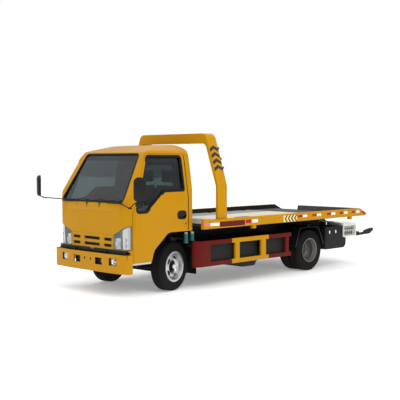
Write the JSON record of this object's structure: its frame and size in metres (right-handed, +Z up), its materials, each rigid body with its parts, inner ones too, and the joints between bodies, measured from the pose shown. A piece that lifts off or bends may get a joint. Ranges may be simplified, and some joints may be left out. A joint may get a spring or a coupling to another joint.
{
  "type": "flatbed tow truck",
  "caption": "Cab-over flatbed tow truck with a sliding, tilting bed, a portal arch with lamps, a winch and a wheel-lift with forks.",
  "frame": {"origin": "on the ground under the middle of the truck box", "axes": "+X towards the front of the truck, +Y to its left, +Z up"},
  "size_m": [6.6163, 2.6368, 2.44],
  "materials": {
    "body_paint": "gloss",
    "chassis_black": "satin",
    "white_paint": "satin",
    "bed_paint": "worn",
    "guard_red": "satin",
    "bumper_paint": "gloss",
    "engine_metal": "rough",
    "cast_iron": "rough",
    "exhaust_steel": "stained",
    "spring_steel": "dull",
    "polished_rod": "polished",
    "rim_silver": "satin",
    "rim_grey": "satin",
    "tyre": "matte",
    "glass": "clear",
    "lamp_lens": "clear",
    "lamp_red": "clear",
    "black_plastic": "matte",
    "dark_plastic": "matte",
    "bottle_plastic": "matte",
    "seat_fabric": "woven"
  },
  "bodies": {
    "chassis": {"frame": "chassis_black", "engine": "engine_metal", "propeller_shaft": "chassis_black", "radiator": "engine_metal", "exhaust": "exhaust_steel", "fuel_tank": "chassis_black", "side_boxes": "chassis_black", "side_guards": "guard_red", "mudguards": "black_plastic", "reservoirs": "bottle_plastic", "control_boxes": "white_paint", "chassis_lamps": "lamp_lens", "bumper": "bumper_paint", "front_axle": "chassis_black", "rear_axle": "chassis_black", "leaf_springs": "spring_steel"},
    "knuckle_left": {"knuckle_left": "cast_iron"},
    "knuckle_right": {"knuckle_right": "cast_iron"},
    "tie_rod": {"tie_rod": "chassis_black"},
    "wheel_front_left": {"tyre_front_left": "tyre", "rim_front_left": "rim_silver"},
    "wheel_front_right": {"tyre_front_right": "tyre", "rim_front_right": "rim_silver"},
    "wheel_rear_left": {"tyres_rear_left": "tyre", "rims_rear_left": "rim_grey"},
    "wheel_rear_right": {"tyres_rear_right": "tyre", "rims_rear_right": "rim_grey"},
    "cab": {"cab_shell": "body_paint", "cab_glass": "glass", "grille": "body_paint", "headlamps": "lamp_lens", "dashboard": "dark_plastic", "seats": "seat_fabric", "wipers": "black_plastic", "mirrors": "black_plastic"},
    "steering_wheel": {"steering_wheel": "dark_plastic"},
    "door_left": {"door_left": "body_paint", "door_left_glass": "glass"},
    "door_right": {"door_right": "body_paint", "door_right_glass": "glass"},
    "tilt_frame": {"tilt_frame": "chassis_black"},
    "lift_barrels": {"lift_barrels": "chassis_black"},
    "lift_rods": {"lift_rods": "polished_rod"},
    "bed": {"bed_frame": "chassis_black", "bed_floor": "bed_paint", "bed_rails": "body_paint", "tail_plate": "chassis_black", "arch": "body_paint", "arch_lamps": "lamp_red", "winch": "chassis_black"},
    "winch_drum": {"winch_drum": "engine_metal"},
    "underlift_boom": {"underlift_boom": "chassis_black"},
    "underlift_slide": {"underlift_slide": "chassis_black"}
  },
  "joints": [
    {"name": "steer_left", "type": "hinge", "parent": "chassis", "child": "knuckle_left", "pos_m": [2.177, 0.588, 0.373], "axis": [0, 0, 1], "range_deg": [-46, 24]},
    {"name": "steer_right", "type": "hinge", "parent": "chassis", "child": "knuckle_right", "pos_m": [2.177, -0.588, 0.373], "axis": [0, 0, 1], "range_deg": [-46, 24]},
    {"name": "tie_rod_turn", "type": "hinge", "parent": "knuckle_left", "child": "tie_rod", "pos_m": [2.03957, 0.56129, 0.284], "axis": [0, 0, 1], "range_deg": [-24, 46]},
    {"name": "spin_front_left", "type": "hinge", "parent": "knuckle_left", "child": "wheel_front_left", "pos_m": [2.15563, 0.69794, 0.373], "axis": [-0.1908, 0.9816, 0], "continuous": true},
    {"name": "spin_front_right", "type": "hinge", "parent": "knuckle_right", "child": "wheel_front_right", "pos_m": [2.19837, -0.69794, 0.373], "axis": [-0.1908, 0.9816, 0], "continuous": true},
    {"name": "spin_rear_left", "type": "hinge", "parent": "chassis", "child": "wheel_rear_left", "pos_m": [-1.183, 0.6875, 0.373], "axis": [0, 1, 0], "continuous": true},
    {"name": "spin_rear_right", "type": "hinge", "parent": "chassis", "child": "wheel_rear_right", "pos_m": [-1.183, -0.6875, 0.373], "axis": [0, 1, 0], "continuous": true},
    {"name": "cab_tilt", "type": "hinge", "parent": "chassis", "child": "cab", "pos_m": [3.045, 0, 0.628], "axis": [0, 1, 0], "range_deg": [0, 45]},
    {"name": "steering_wheel_turn", "type": "hinge", "parent": "cab", "child": "steering_wheel", "pos_m": [2.767, 0.4, 1.358], "axis": [-0.42, 0, 0.9075], "range_deg": [-828, 432]},
    {"name": "door_left_swing", "type": "hinge", "parent": "cab", "child": "door_left", "pos_m": [3.019, 0.85, 1], "axis": [0, 0, -1], "range_deg": [0, 70]},
    {"name": "door_right_swing", "type": "hinge", "parent": "cab", "child": "door_right", "pos_m": [3.019, -0.85, 1], "axis": [0, 0, 1], "range_deg": [0, 70]},
    {"name": "bed_tilt", "type": "hinge", "parent": "chassis", "child": "tilt_frame", "pos_m": [-2.373, 0, 0.8], "axis": [0, -1, 0], "range_deg": [0, 14]},
    {"name": "lift_swing", "type": "hinge", "parent": "chassis", "child": "lift_barrels", "pos_m": [-0.423, 0, 0.59], "axis": [0, 1, 0], "range_deg": [0, 16.5]},
    {"name": "lift_stroke", "type": "slide", "parent": "lift_barrels", "child": "lift_rods", "axis": [-0.9743, 0, 0.2253], "range_m": [0, 0.13]},
    {"name": "bed_slide", "type": "slide", "parent": "tilt_frame", "child": "bed", "axis": [-1, 0, 0], "range_m": [0, 2.9]},
    {"name": "winch_turn", "type": "hinge", "parent": "bed", "child": "winch_drum", "pos_m": [1.262, 0, 1.095], "axis": [0, 1, 0], "continuous": true},
    {"name": "underlift_tilt", "type": "hinge", "parent": "chassis", "child": "underlift_boom", "pos_m": [-1.673, 0, 0.6], "axis": [0, -1, 0], "range_deg": [-9, 12]},
    {"name": "underlift_extend", "type": "slide", "parent": "underlift_boom", "child": "underlift_slide", "axis": [-1, 0, 0], "range_m": [0, 0.5]}
  ],
  "couplings": [
    {"joint": "steer_right", "follows": "steer_left", "ratio": 1},
    {"joint": "tie_rod_turn", "follows": "steer_left", "ratio": -1},
    {"joint": "steering_wheel_turn", "follows": "steer_left", "ratio": 18},
    {"joint": "lift_swing", "follows": "bed_tilt", "ratio": 1.16},
    {"joint": "lift_stroke", "follows": "bed_tilt", "m_per_rad": 0.524}
  ]
}
